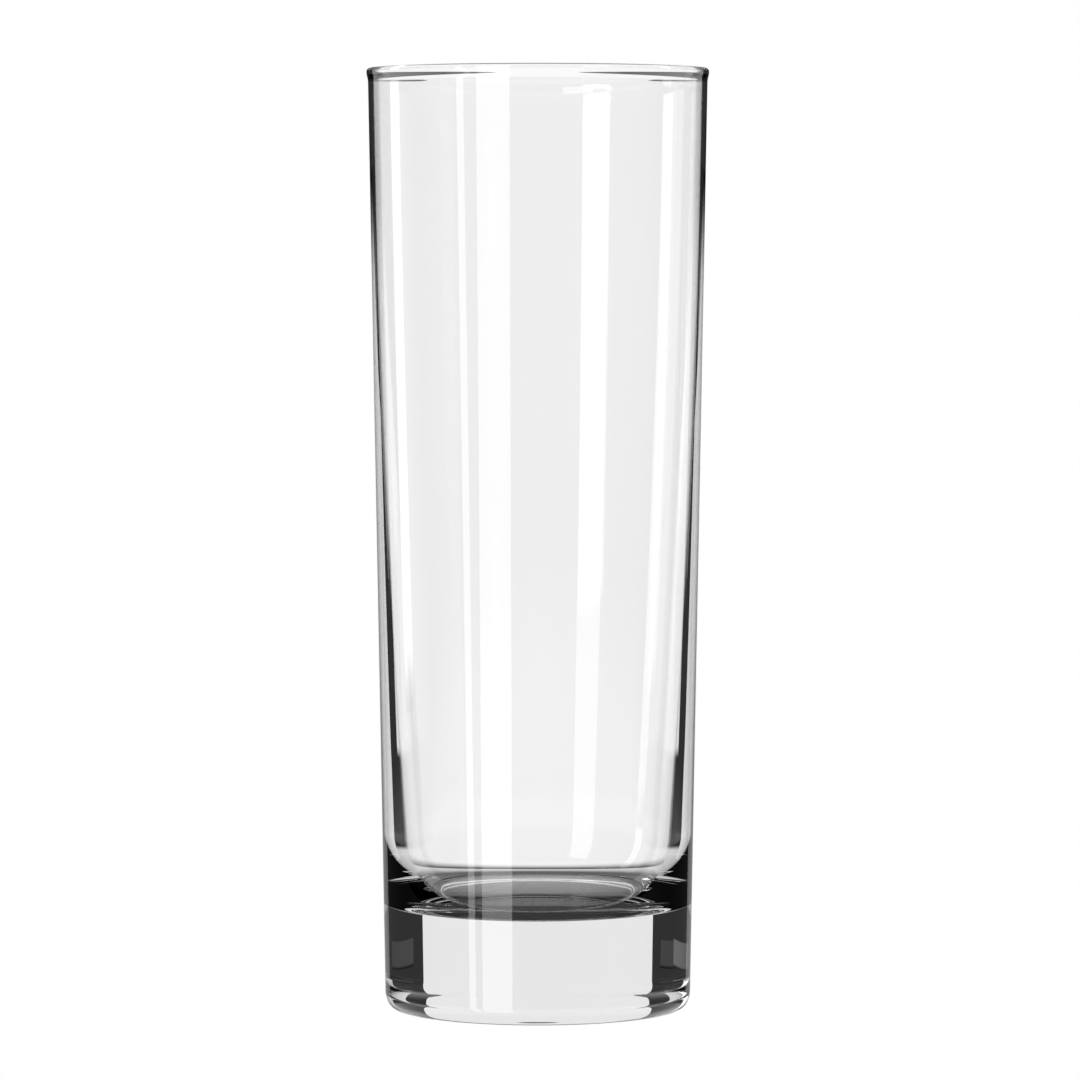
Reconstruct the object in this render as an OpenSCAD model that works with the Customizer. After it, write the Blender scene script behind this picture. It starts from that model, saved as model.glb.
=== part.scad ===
// Tall highball glass in one piece, standing on z = 0 with its axis on Z.
// One outline of the glass is turned about the axis: foot, outer wall, rim, inner wall and base.

/* [Overall] */
// Height from the table to the top of the rim
height = 165; // [140:1:190]
// Outer diameter of the rim bead
rim_d = 60; // [56:0.5:66]
// Outer diameter of the wall just above the heel
base_d = 53.7; // [48:0.1:56]

/* [Rim] */
// Thickness of the fire-polished rim bead
rim_bead_t = 1.25; // [1:0.05:2]
// How far the bead stands proud of the outer wall
rim_proud = 0.28; // [0.1:0.02:0.5]
// Height of the bead, with the curve that leads down from it to the wall
rim_bead_h = 2.5; // [1.2:0.1:3]

/* [Wall] */
// Wall thickness just under the rim
rim_wall_t = 0.8; // [0.6:0.05:1.3]
// Wall thickness where the wall meets the rounded bottom of the cavity
low_wall_t = 3.7; // [2.6:0.05:4.5]
// How much thinner the wall is half-way down than an even taper would make it
wall_bow = 0.65; // [0.1:0.05:0.7]

/* [Base] */
// Solid glass between the table and the bottom of the cavity
base_t = 17.5; // [12:0.1:26]
// Width of the cavity's rounded bottom edge, measured inwards from the wall
cavity_round_w = 6; // [5:0.5:10]
// Height of the cavity's rounded bottom edge
cavity_round_h = 13; // [6:0.5:16]
// How far the middle of the cavity floor rises
floor_crown = 0.4; // [0.2:0.1:1.2]

/* [Heel and foot] */
// Width of the rounded heel, measured inwards from the wall
heel_w = 1.9; // [1.2:0.1:3]
// Height of the rounded heel
heel_h = 3.1; // [2:0.1:5]
// Width of the flat ring that the glass stands on
foot_ring_w = 1.4; // [1:0.1:3]
// Width of the slope from the ring up into the hollow underside
foot_slope_w = 1.6; // [1:0.1:4]
// Depth of the hollow underside
foot_hollow = 1.4; // [0.6:0.1:2.5]

/* [Hidden] */
$fn = 144;
// Steps in a quarter round, and in each long gentle curve
round_steps = 12;
curve_steps = 14;
quarter = 90;

base_r = base_d / 2;
rim_r = rim_d / 2;
foot_r = base_r - heel_w;
ring_in_r = foot_r - foot_ring_w;
hollow_r = ring_in_r - foot_slope_w;
bead_z = height - rim_bead_h;
bead_mid_r = rim_r - rim_bead_t / 2;
floor_z = base_t;
corner_top_z = base_t + cavity_round_h;

// How far the outer wall, and the inner wall at its foot, lean outwards for each unit of height
outer_lean = (rim_r - rim_proud - base_r) / (bead_z - heel_h);
inner_lean = outer_lean + (low_wall_t - rim_wall_t + 4 * wall_bow) / (bead_z - corner_top_z);
// The rounded bottom edge is part of an oval that starts with that lean, at this angle
round_slant = inner_lean * cavity_round_h / cavity_round_w;
round_start = asin(round_slant / (1 - round_slant));
oval_w = cavity_round_w / cos(round_start);
oval_h = cavity_round_h / (1 - sin(round_start));

// Outer radius of the plain wall at height z
function outer_r(z) = base_r + outer_lean * (z - heel_h);
// Share of the way down from the bead to the rounded bottom edge, at height z
function down_share(z) = (bead_z - z) / (bead_z - corner_top_z);
// Wall thickness at height z
function wall_t(z) =
    let (u = down_share(z))
        rim_wall_t + (low_wall_t - rim_wall_t) * u - 4 * wall_bow * u * (1 - u);
// Inner radius at height z
function inner_r(z) = outer_r(z) - wall_t(z);
// Smooth rise from 0 to 1 as t goes from 0 to 1
function ease(t) = (1 - cos(2 * quarter * t)) / 2;

// From the axis out across the hollow underside to the ring
underside = [
    [0, foot_hollow],
    for (i = [0:curve_steps])
        let (t = i / curve_steps)
            [hollow_r + foot_slope_w * t, foot_hollow * (1 - ease(t))]
];
// The heel, a quarter of an ellipse from the ring up to the wall
heel = [
    for (i = [0:round_steps])
        let (a = quarter * i / round_steps)
            [foot_r + heel_w * sin(a), heel_h * (1 - cos(a))]
];
// The bead: its outside, its round top and its inside
bead_out = [
    for (i = [0:round_steps])
        let (t = i / round_steps)
            [outer_r(bead_z) + rim_proud * ease(t), bead_z + (rim_bead_h - rim_bead_t / 2) * t]
];
bead_top = [
    for (i = [1:2 * round_steps - 1])
        let (a = quarter * i / round_steps)
            [bead_mid_r + rim_bead_t / 2 * cos(a), height - rim_bead_t / 2 * (1 - sin(a))]
];
bead_in = [
    for (i = [round_steps:-1:0])
        let (t = i / round_steps)
            [
                inner_r(bead_z) + (rim_r - rim_bead_t - inner_r(bead_z)) * ease(t),
                bead_z + (rim_bead_h - rim_bead_t / 2) * t
            ]
];
// The inner wall down to the rounded edge
inner_wall = [
    for (i = [1:curve_steps])
        let (z = bead_z + (corner_top_z - bead_z) * i / curve_steps)
            [inner_r(z), z]
];
// The rounded bottom edge of the cavity, then the crowned floor in to the axis
corner_r = inner_r(corner_top_z) - cavity_round_w;
cavity_round = [
    for (i = [1:round_steps])
        let (a = round_start + (quarter - round_start) * i / round_steps)
            [corner_r + oval_w * cos(a), floor_z + oval_h * (1 - sin(a))]
];
cavity_floor = [
    for (i = [1:curve_steps])
        let (t = i / curve_steps)
            [corner_r * (1 - t), floor_z + floor_crown * ease(t)]
];

module tumbler() {
    color([0.93, 0.95, 0.95, 0.35])
        rotate_extrude()
            polygon(concat(
                underside, heel, bead_out, bead_top, bead_in,
                inner_wall, cavity_round, cavity_floor
            ));
}

tumbler();
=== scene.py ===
# Tall highball glass: one spun glass mesh over the CAD tumbler, in a bright-field studio set
import math

import bmesh
import bpy
from mathutils import Matrix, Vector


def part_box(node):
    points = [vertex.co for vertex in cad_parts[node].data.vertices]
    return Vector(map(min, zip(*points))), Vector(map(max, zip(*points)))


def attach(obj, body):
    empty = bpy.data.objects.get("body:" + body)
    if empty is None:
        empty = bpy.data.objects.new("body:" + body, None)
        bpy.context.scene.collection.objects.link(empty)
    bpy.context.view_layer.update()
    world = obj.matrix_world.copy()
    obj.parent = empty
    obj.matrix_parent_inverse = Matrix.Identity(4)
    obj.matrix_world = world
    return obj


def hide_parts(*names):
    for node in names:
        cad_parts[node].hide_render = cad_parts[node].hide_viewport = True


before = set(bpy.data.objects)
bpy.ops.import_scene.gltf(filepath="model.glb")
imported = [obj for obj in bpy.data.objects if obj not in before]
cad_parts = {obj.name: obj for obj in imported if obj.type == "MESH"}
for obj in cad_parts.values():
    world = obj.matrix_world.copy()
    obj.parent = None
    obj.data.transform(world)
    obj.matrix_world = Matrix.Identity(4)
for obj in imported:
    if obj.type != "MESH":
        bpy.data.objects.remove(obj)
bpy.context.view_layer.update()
scene = bpy.context.scene
scene.view_settings.view_transform = "Standard"
mm = 0.001
print("frame loaded")


# shader maths: a socket that adds nodes when it is used in an expression
class Wire:
    def __init__(self, tree, socket):
        self.tree = tree
        self.socket = socket

    def maths(self, operation, other, reflected=False):
        pair = [other, self] if reflected else [self, other]
        return self.tree.add("ShaderNodeMath", {"operation": operation}, {0: pair[0], 1: pair[1]})

    def __add__(self, other):
        return self.maths("ADD", other)

    def __radd__(self, other):
        return self.maths("ADD", other, True)

    def __sub__(self, other):
        return self.maths("SUBTRACT", other)

    def __rsub__(self, other):
        return self.maths("SUBTRACT", other, True)

    def __mul__(self, other):
        return self.maths("MULTIPLY", other)

    def __rmul__(self, other):
        return self.maths("MULTIPLY", other, True)


class ShaderTree:
    def __init__(self, owner):
        owner.use_nodes = True
        self.nodes = owner.node_tree.nodes
        self.links = owner.node_tree.links
        self.nodes.clear()

    # one node: its settings first, then the values or wires of its sockets, and the output wanted
    def add(self, kind, settings=None, sockets=None, output=0):
        node = self.nodes.new(kind)
        for name, value in (settings or {}).items():
            setattr(node, name, value)
        for name, value in (sockets or {}).items():
            if isinstance(value, Wire):
                self.links.new(value.socket, node.inputs[name])
            else:
                node.inputs[name].default_value = value
        return Wire(self, node.outputs[output]) if node.outputs else None

    # 0 at low, 1 at high, and a smooth step between; low may be the greater of the two
    def step(self, value, low, high):
        return self.add(
            "ShaderNodeMapRange",
            {"interpolation_type": "SMOOTHSTEP"},
            {"Value": value, "From Min": low, "From Max": high},
        )

    def blend(self, factor, first, second):
        return self.add(
            "ShaderNodeMix", {"data_type": "FLOAT"}, {"Factor": factor, "A": first, "B": second}
        )


# the sizes of the glass, and of the CAD outline that it follows
tumbler = {
    "rimBeadWide": 1.25 * mm,
    "rimBeadProud": 0.28 * mm,
    "rimBeadTall": 2.5 * mm,
    "wallAtRim": 0.8 * mm,
    "wallAtFloor": 3.7 * mm,
    "wallBow": 0.65 * mm,
    "baseAcross": 53.7 * mm,
    "baseThick": 17.5 * mm,
    "cornerWide": 6 * mm,
    "cornerTall": 13 * mm,
    "floorCrown": 0.4 * mm,
    "heelWide": 1.9 * mm,
    "heelTall": 3.1 * mm,
    "footRingWide": 1.4 * mm,
    "footSlopeWide": 1.6 * mm,
    "footHollow": 1.4 * mm,
    # segments round the axis, the mesh's inset from the CAD box, and the reach of merging doubles
    "turns": 320,
    "skin": 0.01 * mm,
    "mergeWithin": 0.0001 * mm,
}
# how many steps each stretch of the outline has
outlineSteps = {
    "hollow": 10,
    "slope": 16,
    "ring": 3,
    "heel": 20,
    "outerWall": 56,
    "beadBend": 10,
    "bead": 20,
    "innerWall": 60,
    "corner": 30,
    "floor": 20,
}


def ease(t):
    return (1 - math.cos(math.pi * t)) / 2


# draws the half outline, one extruded vertex after another, in the XZ plane
class Pen:
    def __init__(self, r, z):
        self.bm = bmesh.new()
        self.tip = self.bm.verts.new((r, 0, z))

    def at(self):
        return self.tip.co.x, self.tip.co.z

    def goTo(self, r, z):
        grown = bmesh.ops.extrude_vert_indiv(self.bm, verts=[self.tip])
        self.tip = grown["verts"][0]
        r0, z0 = self.at()
        bmesh.ops.translate(self.bm, verts=[self.tip], vec=(r - r0, 0, z - z0))

    # straight, or bowed sideways by up to bow, with the finest steps at both ends
    def lineTo(self, r, z, steps, bow=0.0):
        r0, z0 = self.at()
        for k in range(1, steps + 1):
            t = ease(k / steps)
            self.goTo(r0 + (r - r0) * t + 4 * bow * t * (1 - t), z0 + (z - z0) * t)

    # eases sideways to radius r while the height runs evenly, or the other way round
    def bendTo(self, r, z, steps, level=False):
        r0, z0 = self.at()
        for k in range(1, steps + 1):
            t = k / steps
            across, along = (t, ease(t)) if level else (ease(t), t)
            self.goTo(r0 + (r - r0) * across, z0 + (z - z0) * along)

    # turns about a centre, and stretches the arc sideways from there into part of an ellipse
    def arcAbout(self, r, z, degrees, steps, wider=1.0):
        before = set(self.bm.verts)
        swept = bmesh.ops.spin(
            self.bm, geom=[self.tip], cent=(r, 0, z), axis=(0, 1, 0),
            angle=math.radians(degrees), steps=steps,
        )
        self.tip = [v for v in swept["geom_last"] if isinstance(v, bmesh.types.BMVert)][0]
        fresh = [v for v in self.bm.verts if v not in before]
        bmesh.ops.scale(
            self.bm, verts=fresh, vec=(wider, 1, 1), space=Matrix.Translation((-r, 0, -z))
        )

    # along the lower outer quarter of an oval, from the angle given down to its bottom
    def ovalTo(self, r, z, across, deep, start, steps):
        for k in range(1, steps + 1):
            a = start + (math.pi / 2 - start) * k / steps
            self.goTo(r + across * math.cos(a), z - deep * math.sin(a))


def spinTumbler(spec, steps, low, high):
    rimR = min(high.x, high.y, -low.x, -low.y) - spec["skin"]
    top = high.z - spec["skin"]
    baseR = spec["baseAcross"] / 2
    footR = baseR - spec["heelWide"]
    ringInR = footR - spec["footRingWide"]
    hollowR = ringInR - spec["footSlopeWide"]
    beadZ = top - spec["rimBeadTall"]
    beadHalf = spec["rimBeadWide"] / 2
    wallTopR = rimR - spec["rimBeadProud"]
    cornerZ = spec["baseThick"] + spec["cornerTall"]
    wallRise = (cornerZ - spec["heelTall"]) / (beadZ - spec["heelTall"])
    cavityR = baseR + (wallTopR - baseR) * wallRise - spec["wallAtFloor"]

    pen = Pen(0, spec["footHollow"])
    pen.lineTo(hollowR, spec["footHollow"], steps["hollow"])
    pen.bendTo(ringInR, 0, steps["slope"], level=True)
    pen.lineTo(footR, 0, steps["ring"])
    flat = spec["heelWide"] / spec["heelTall"]
    pen.arcAbout(footR, spec["heelTall"], -90, steps["heel"], wider=flat)
    pen.lineTo(wallTopR, beadZ, steps["outerWall"])
    pen.bendTo(rimR, top - beadHalf, steps["beadBend"])
    pen.arcAbout(rimR - beadHalf, top - beadHalf, -180, steps["bead"])
    pen.bendTo(wallTopR - spec["wallAtRim"], beadZ, steps["beadBend"])
    pen.lineTo(cavityR, cornerZ, steps["innerWall"], bow=spec["wallBow"])
    # the corner is part of an oval that starts with the lean that the wall has at its foot
    lean = (wallTopR - baseR) / (beadZ - spec["heelTall"])
    lean += (spec["wallAtFloor"] - spec["wallAtRim"] + 4 * spec["wallBow"]) / (beadZ - cornerZ)
    slant = lean * spec["cornerTall"] / spec["cornerWide"]
    start = math.asin(slant / (1 - slant))
    across = spec["cornerWide"] / math.cos(start)
    deep = spec["cornerTall"] / (1 - math.sin(start))
    middle = (cavityR - spec["cornerWide"], spec["baseThick"] + deep)
    pen.ovalTo(*middle, across, deep, start, steps["corner"])
    pen.bendTo(0, spec["baseThick"] + spec["floorCrown"], steps["floor"], level=True)

    bm = pen.bm
    bmesh.ops.spin(
        bm, geom=bm.verts[:] + bm.edges[:], cent=(0, 0, 0), axis=(0, 0, 1),
        angle=math.tau, steps=spec["turns"], use_merge=True,
    )
    bmesh.ops.remove_doubles(bm, verts=bm.verts[:], dist=spec["mergeWithin"])
    bmesh.ops.recalc_face_normals(bm, faces=bm.faces[:])
    mesh = bpy.data.meshes.new("highball")
    bm.to_mesh(mesh)
    bm.free()
    mesh.shade_smooth()
    glass = bpy.data.objects.new("highball", mesh)
    scene.collection.objects.link(glass)
    return glass


glassLook = {
    "index": 1.52,
    "dimming": 3.0,
    "wavesPerMetre": (40, 40, 9),
    "waveDetail": 1.5,
    "waveTall": 0.02 * mm,
    "waveStrength": 0.1,
}


def clearGlass(spec):
    material = bpy.data.materials.new("clearGlass")
    tree = ShaderTree(material)
    place = tree.add("ShaderNodeTexCoord", output="Object")
    drawn = tree.add("ShaderNodeMapping", None, {"Vector": place, "Scale": spec["wavesPerMetre"]})
    waves = tree.add(
        "ShaderNodeTexNoise", None, {"Vector": drawn, "Scale": 1.0, "Detail": spec["waveDetail"]}
    )
    bump = tree.add(
        "ShaderNodeBump",
        None,
        {"Strength": spec["waveStrength"], "Distance": spec["waveTall"], "Height": waves},
    )
    surface = tree.add(
        "ShaderNodeBsdfPrincipled",
        None,
        {
            "Base Color": (1, 1, 1, 1),
            "Roughness": 0.0,
            "IOR": spec["index"],
            "Transmission Weight": 1.0,
            "Normal": bump,
        },
    )
    inside = tree.add(
        "ShaderNodeVolumeAbsorption", None, {"Color": (0, 0, 0, 1), "Density": spec["dimming"]}
    )
    tree.add("ShaderNodeOutputMaterial", None, {"Surface": surface, "Volume": inside})
    return material


low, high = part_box("tumbler")
glass = spinTumbler(tumbler, outlineSteps, low, high)
glass.data.materials.append(clearGlass(glassLook))
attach(glass, "root")
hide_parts("tumbler")
print("glass spun:", len(glass.data.polygons), "faces")


# the world: a white page for camera and diffuse rays, and for the others a pale table low down,
# dim straight below, a dark room at eye level and a grey ceiling. Each From gives the two values,
# of a direction's part that points up, down or back, between which that light comes in
studio = {
    "page": 1.0,
    "darkRoom": 0.03,
    "frontRoom": 0.08,
    "frontFrom": (-0.1, 0.5),
    "paleTable": (0.85, 0.7),
    "paleTableFrom": (0.25, 0.55),
    "tableFrom": (0.16, 0.22),
    "tableLater": 0.1,
    "tableLaterFrom": (-0.2, 0.4),
    "steepTable": 0.1,
    "steepTableFrom": (0.55, 0.7),
    "ceiling": 0.25,
    "ceilingFrom": (0.12, 0.35),
}


def whiteWorld(spec):
    world = bpy.data.worlds.new("studio")
    tree = ShaderTree(world)
    direction = tree.add("ShaderNodeTexCoord", output="Generated")
    back = tree.add("ShaderNodeSeparateXYZ", None, {"Vector": direction}, output="Y")
    up = tree.add("ShaderNodeSeparateXYZ", None, {"Vector": direction}, output="Z")
    below = -1 * up
    table = tree.blend(tree.step(below, *spec["paleTableFrom"]), *spec["paleTable"])
    table = tree.blend(tree.step(below, *spec["steepTableFrom"]), table, spec["steepTable"])
    dark = tree.blend(tree.step(back, *spec["frontFrom"]), spec["frontRoom"], spec["darkRoom"])
    above = tree.blend(tree.step(up, *spec["ceilingFrom"]), dark, spec["ceiling"])
    # the table starts lower down behind the glass than in front of it
    tableEdge = below - spec["tableLater"] * tree.step(back, *spec["tableLaterFrom"])
    room = tree.blend(tree.step(tableEdge, *spec["tableFrom"]), above, table)
    camera = tree.add("ShaderNodeLightPath", output="Is Camera Ray")
    diffuse = tree.add("ShaderNodeLightPath", output="Is Diffuse Ray")
    glow = tree.blend(camera + diffuse, room, spec["page"])
    light = tree.add("ShaderNodeBackground", None, {"Color": (1, 1, 1, 1), "Strength": glow})
    tree.add("ShaderNodeOutputWorld", None, {"Surface": light})
    scene.world = world


whiteWorld(studio)

# a count of mirrorings or passes steps between these shares of the way from one number to the next
countStep = (0.2, 0.8)
noLimit = 99


# light of the strength glow. rise gives two heights between which it fades in upward, and recede
# two depths between which it fades in towards the back, from the share left. bounces and passes
# give the least and the most mirrorings, and passes through glass, of the rays that it shows to
def glowing(name, spec):
    material = bpy.data.materials.new(name)
    tree = ShaderTree(material)
    place = tree.add("ShaderNodeTexCoord", output="Object")
    strength = spec["glow"]
    if "rise" in spec:
        height = tree.add("ShaderNodeSeparateXYZ", None, {"Vector": place}, output="Z")
        strength = strength * tree.step(height, *spec["rise"])
    if "recede" in spec:
        back = tree.add("ShaderNodeSeparateXYZ", None, {"Vector": place}, output="Y")
        strength = strength * tree.blend(tree.step(back, *spec["recede"]), spec["left"], 1.0)
    light = tree.add("ShaderNodeEmission", None, {"Color": (1, 1, 1, 1), "Strength": strength})
    for kind, key in (("Glossy Depth", "bounces"), ("Transmission Depth", "passes")):
        if key in spec:
            least, most = spec[key]
            start, end = countStep
            count = tree.add("ShaderNodeLightPath", output=kind)
            enough = tree.step(count, least - end, least - start)
            shown = enough * (1 - tree.step(count, most + start, most + end))
            gone = tree.add("ShaderNodeBsdfTransparent")
            light = tree.add("ShaderNodeMixShader", None, {0: shown, 1: gone, 2: light})
    tree.add("ShaderNodeOutputMaterial", None, {"Surface": light})
    return material


def hideFrom(thing, *rays):
    for ray in rays:
        setattr(thing, "visible_" + ray, False)


# puts a finished mesh into the set, glowing, and out of the camera's sight
def stand(name, bm, spec):
    mesh = bpy.data.meshes.new(name)
    bm.to_mesh(mesh)
    bm.free()
    mesh.materials.append(glowing(name, spec))
    thing = bpy.data.objects.new(name, mesh)
    scene.collection.objects.link(thing)
    hideFrom(thing, "camera", "diffuse", "shadow", *spec["hiddenFrom"])


# an upright board, turned about the glass from behind it: its half outline goes from the bottom up
def board(name, spec):
    bm = bmesh.new()
    half, away, lean = spec["halfOutline"], spec["away"], spec.get("lean", 0)
    ring = [bm.verts.new((lean * z + x, away, z)) for x, z in half]
    ring += [bm.verts.new((lean * z - x, away, z)) for x, z in reversed(half)]
    bm.faces.new(ring)
    turned = Matrix.Rotation(math.radians(spec["turn"]), 3, "Z")
    bmesh.ops.rotate(bm, verts=bm.verts[:], cent=(0, 0, 0), matrix=turned)
    stand(name, bm, spec)


# an oblong board that fills the angles of its compass, anticlockwise from behind the glass
def strip(name, spec):
    start, end = spec["compass"]
    low, top = spec["heights"]
    half = spec["away"] * math.tan(math.radians(abs(end - start) / 2))
    board(name, {**spec, "turn": (start + end) / 2, "halfOutline": [(half, low), (half, top)]})


# the table right under the foot gets hardly any light
footShade = {"radius": 0.0248, "z": -0.0003, "corners": 96, "glow": 0.03, "hiddenFrom": ()}


def underFoot(name, spec):
    bm = bmesh.new()
    bmesh.ops.create_circle(bm, cap_ends=True, segments=spec["corners"], radius=spec["radius"])
    bmesh.ops.translate(bm, verts=bm.verts[:], vec=(0, 0, spec["z"]))
    stand(name, bm, spec)


underFoot("underFoot", footShade)

# boards that only rays through the glass meet, and boards that only mirrored rays meet
inGlass = ("glossy",)
inMirror = ("transmission",)
# the panel as it shows straight through the glass, and as it shows after one or two mirrorings
panels = {
    "panelBehind": {
        "turn": 0,
        "away": 0.306,
        "halfOutline": [(0.205, -0.17), (0.205, 0.241)],
        "glow": 1.01,
        "rise": (-0.17, -0.11),
        "bounces": (0, 0),
        "hiddenFrom": inGlass,
    },
    "panelMirrored": {
        "turn": 0,
        "away": 0.307,
        "halfOutline": [
            (0.205, -0.13), (0.205, -0.0247), (0.2, -0.016), (0.2, 0.0037), (0.195, 0.0745),
            (0.165, 0.0909), (0.145, 0.1127), (0.12, 0.1465), (0.12, 0.16),
        ],
        "glow": 1.01,
        "rise": (0.145, 0.115),
        "bounces": (1, 2),
        "hiddenFrom": inGlass,
    },
}
for name, spec in panels.items():
    board(name, spec)

# two strips in front whose mirror images run down the wall, a far one in front that shows in the
# walls after three passes or more, and a near one that draws light lines at the edges
frontStrip = {"away": 0.6, "heights": (-0.3, 0.7), "glow": 3.0, "rise": (-0.3, -0.25)}
strips = {
    "stripWide": {**frontStrip, "compass": (139, 161.5), "hiddenFrom": inMirror},
    "stripNarrow": {
        **frontStrip, "compass": (127.2, 132.4), "lean": 0.17, "hiddenFrom": inMirror,
    },
    "stripFar": {
        "away": 2.0, "compass": (127, 147.5), "heights": (-0.14, 1.2),
        "glow": 3.0, "rise": (-0.14, -0.1), "passes": (3, noLimit), "hiddenFrom": inGlass,
    },
    "stripEdge": {
        "away": 0.3, "compass": (63, 74), "heights": (0.0, 0.19),
        "glow": 3.0, "rise": (0.0, 0.02), "hiddenFrom": inGlass,
    },
}

# grey cards that show in the dark columns of the base
card = {
    "away": 0.31, "heights": (-0.024, -0.0175), "rise": (-0.024, -0.023),
    "bounces": (0, 0), "passes": (0, 3), "hiddenFrom": inGlass,
}
strips["greyLeft"] = {**card, "compass": (48, 71), "glow": 0.19}
strips["dimLeft"] = {**card, "compass": (38, 48), "glow": 0.065}
strips["dimRight"] = {**card, "compass": (-61, -39), "glow": 0.075}

# soft side lights, of which the fills fade towards the front
fill = {
    "away": 0.6, "heights": (-0.06, 0.7), "glow": 0.65, "rise": (-0.06, -0.03),
    "recede": (-0.5, 0.55), "left": 0.2, "hiddenFrom": inMirror,
}
upper = {
    "away": 0.6, "heights": (0.02, 0.7), "glow": 0.8, "rise": (0.02, 0.06),
    "hiddenFrom": inMirror,
}
strips["fillLeft"] = {**fill, "compass": (64, 122)}
strips["fillRight"] = {**fill, "compass": (-150, -64)}
strips["highLeft"] = {**upper, "compass": (47, 64)}
strips["highRight"] = {**upper, "compass": (-64, -47)}

# lights beside the panel that draw the two edges of the wall
edge = {
    "away": 0.33, "heights": (-0.14, 0.15), "glow": 0.4, "rise": (0.145, 0.115),
    "hiddenFrom": inMirror,
}
near = {
    "away": 0.32, "heights": (-0.016, 0.24), "glow": 0.9, "rise": (-0.016, -0.012),
    "recede": (0.06, 0.2), "left": 0.2, "bounces": (1, 9), "hiddenFrom": inGlass,
}
side = {
    "away": 0.36, "heights": (-0.016, 0.3), "glow": 0.95, "rise": (-0.016, -0.012),
    "bounces": (0, 0), "hiddenFrom": inGlass,
}
strips["edgeLeft"] = {**edge, "compass": (6, 34)}
strips["edgeRight"] = {**edge, "compass": (-34, -6)}
strips["nearLeft"] = {**near, "compass": (46, 78)}
strips["nearRight"] = {**near, "compass": (-78, -46)}
strips["sideLeft"] = {**side, "compass": (62, 118)}
strips["sideRight"] = {**side, "compass": (-118, -62)}
for name, spec in strips.items():
    strip(name, spec)

# higher lights behind the two sides, narrow at the bottom
corner = {
    "away": 0.61,
    "halfOutline": [(0.01, 0.034), (0.064, 0.062), (0.118, 0.09), (0.14, 0.12), (0.14, 0.7)],
    "glow": 0.8,
    "hiddenFrom": inMirror,
}
board("cornerLeft", {**corner, "turn": 47})
board("cornerRight", {**corner, "turn": -47})
print("set built")


# the camera, at the photograph's place
view = {
    "away": 1.0085,
    "up": 0.1335,
    "aside": 0.00039,
    "tiltDown": 2.903,
    "lens": 191.6,
    "sensorWide": 36,
    "seesTo": 20,
}
lens = bpy.data.cameras.new("camera")
lens.lens = view["lens"]
lens.sensor_width = view["sensorWide"]
lens.clip_end = view["seesTo"]
camera = bpy.data.objects.new("camera", lens)
camera.location = (view["aside"], -view["away"], view["up"])
camera.rotation_euler = (math.radians(90 - view["tiltDown"]), 0, 0)
scene.collection.objects.link(camera)
scene.camera = camera
print("camera placed")
